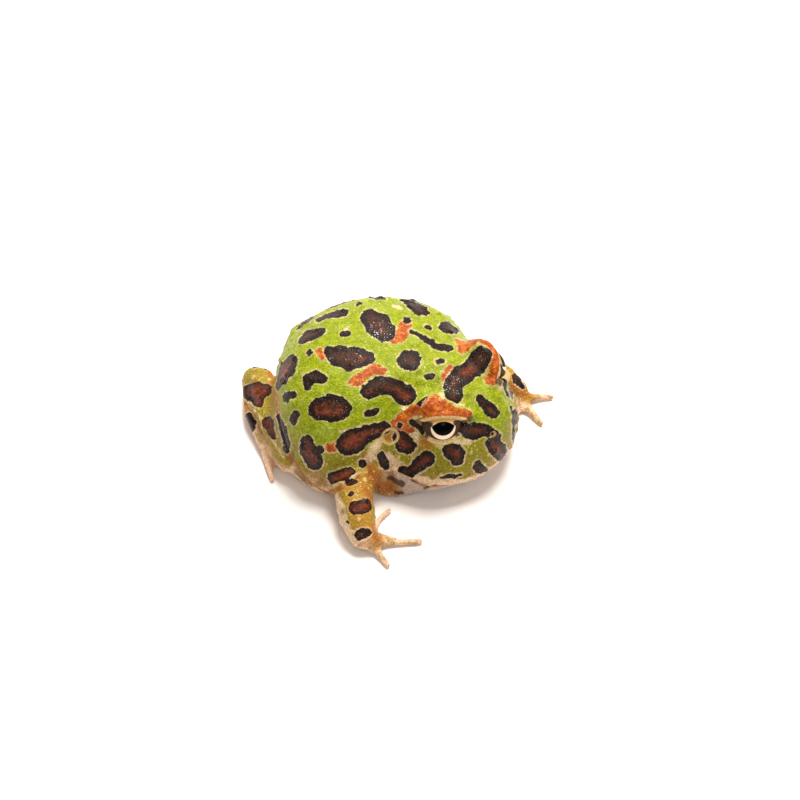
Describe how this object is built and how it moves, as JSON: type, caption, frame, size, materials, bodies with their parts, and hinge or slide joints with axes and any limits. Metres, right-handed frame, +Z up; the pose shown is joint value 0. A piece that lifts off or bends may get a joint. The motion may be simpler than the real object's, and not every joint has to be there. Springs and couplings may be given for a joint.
{
  "type": "argentine horned frog",
  "caption": "Life-size still model of a young Argentine horned frog at rest: round body, very broad head with brow mounds, splayed hands and folded hind legs.",
  "frame": {"origin": "on the floor under the belly, near the middle of the shoulders and the vent", "axes": "+Z up, the nose towards -Y, the frog's left side towards +X"},
  "size_m": [0.0461, 0.046, 0.02],
  "materials": {
    "back_skin": "moist granular skin, green with dark blotches",
    "head_skin": "moist granular skin, green and olive with dark blotches",
    "throat_skin": "smooth moist skin, pale lilac cream with dusky bars",
    "limb_skin": "moist granular skin, golden olive with dark spots",
    "digit_skin": "thin moist skin, peach",
    "brow_skin": "moist granular skin, orange and green",
    "eye_surface": "wet, clear gloss"
  },
  "bodies": {
    "root": {"head": "head_skin", "left_brow": "brow_skin", "left_eye": "eye_surface", "left_foot": "digit_skin", "left_forearm": "limb_skin", "left_hand": "digit_skin", "left_shank": "limb_skin", "left_thigh": "limb_skin", "left_upper_arm": "limb_skin", "lower_jaw": "throat_skin", "right_brow": "brow_skin", "right_eye": "eye_surface", "right_foot": "digit_skin", "right_forearm": "limb_skin", "right_hand": "digit_skin", "right_shank": "limb_skin", "right_thigh": "limb_skin", "right_upper_arm": "limb_skin", "trunk": "back_skin"}
  },
  "joints": []
}
